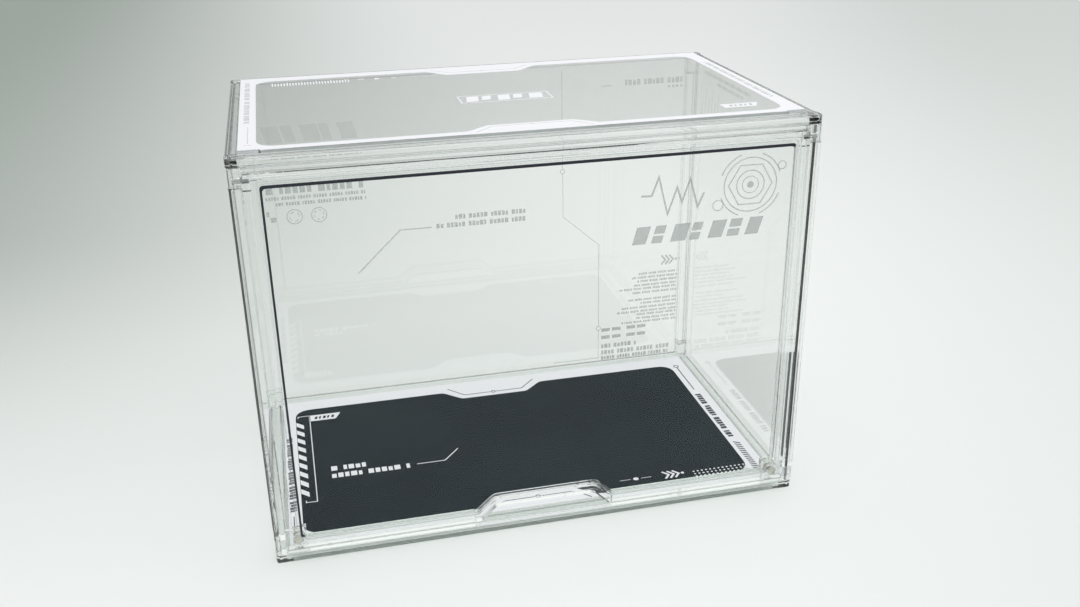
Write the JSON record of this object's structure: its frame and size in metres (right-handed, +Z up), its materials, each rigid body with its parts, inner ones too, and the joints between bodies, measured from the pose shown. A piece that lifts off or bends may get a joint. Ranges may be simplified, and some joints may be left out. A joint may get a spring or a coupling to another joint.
{
  "type": "shoe box",
  "caption": "Clear plastic shoe display box with a drop-in printed floor sheet and a magnet-held front door that swings up on pins.",
  "frame": {"origin": "middle of the footprint, on the surface the box stands on", "axes": "+Z up; +X to the right seen from the door side, along the longest side; the door is on the -Y side"},
  "size_m": [0.36, 0.221, 0.2715],
  "materials": {
    "clear_panel": "polished clear sheet",
    "clear_rail": "polished clear moulding",
    "printed_sheet": "satin printed sheet",
    "white_ink": "opaque white print",
    "grey_ink": "pale grey print",
    "dark_ink": "dark print and seam line",
    "hinge_steel": "drawn steel pin",
    "magnet_nickel": "nickel-plated magnet"
  },
  "bodies": {
    "cabinet": {"roof_front_rail": "clear_rail", "roof_back_rail": "clear_rail", "roof_left_rail": "clear_rail", "roof_right_rail": "clear_rail", "base_front_rail": "clear_rail", "base_back_rail": "clear_rail", "base_left_rail": "clear_rail", "base_right_rail": "clear_rail", "roof_panel": "clear_panel", "floor_panel": "clear_panel", "floor_sheet": "printed_sheet", "left_side_panel": "clear_panel", "right_side_panel": "clear_panel", "back_panel": "clear_panel", "front_left_post": "clear_rail", "front_right_post": "clear_rail", "back_left_post": "clear_rail", "back_right_post": "clear_rail", "roof_front_left_block": "clear_rail", "roof_front_right_block": "clear_rail", "roof_back_left_block": "clear_rail", "roof_back_right_block": "clear_rail", "base_front_left_block": "clear_rail", "base_front_right_block": "clear_rail", "base_back_left_block": "clear_rail", "base_back_right_block": "clear_rail", "door_lintel": "clear_rail", "door_sill": "clear_rail", "catch_left_magnet": "magnet_nickel", "catch_right_magnet": "magnet_nickel"},
    "door": {"door_frame": "clear_rail", "door_window": "clear_panel", "door_left_magnet": "magnet_nickel", "door_right_magnet": "magnet_nickel", "hinge_left_pin": "hinge_steel", "hinge_right_pin": "hinge_steel"}
  },
  "joints": [
    {"name": "door_hinge", "type": "hinge", "parent": "cabinet", "child": "door", "pos_m": [0, -0.1069, 0.257], "axis": [-1, 0, 0], "range_deg": [0, 95]}
  ]
}
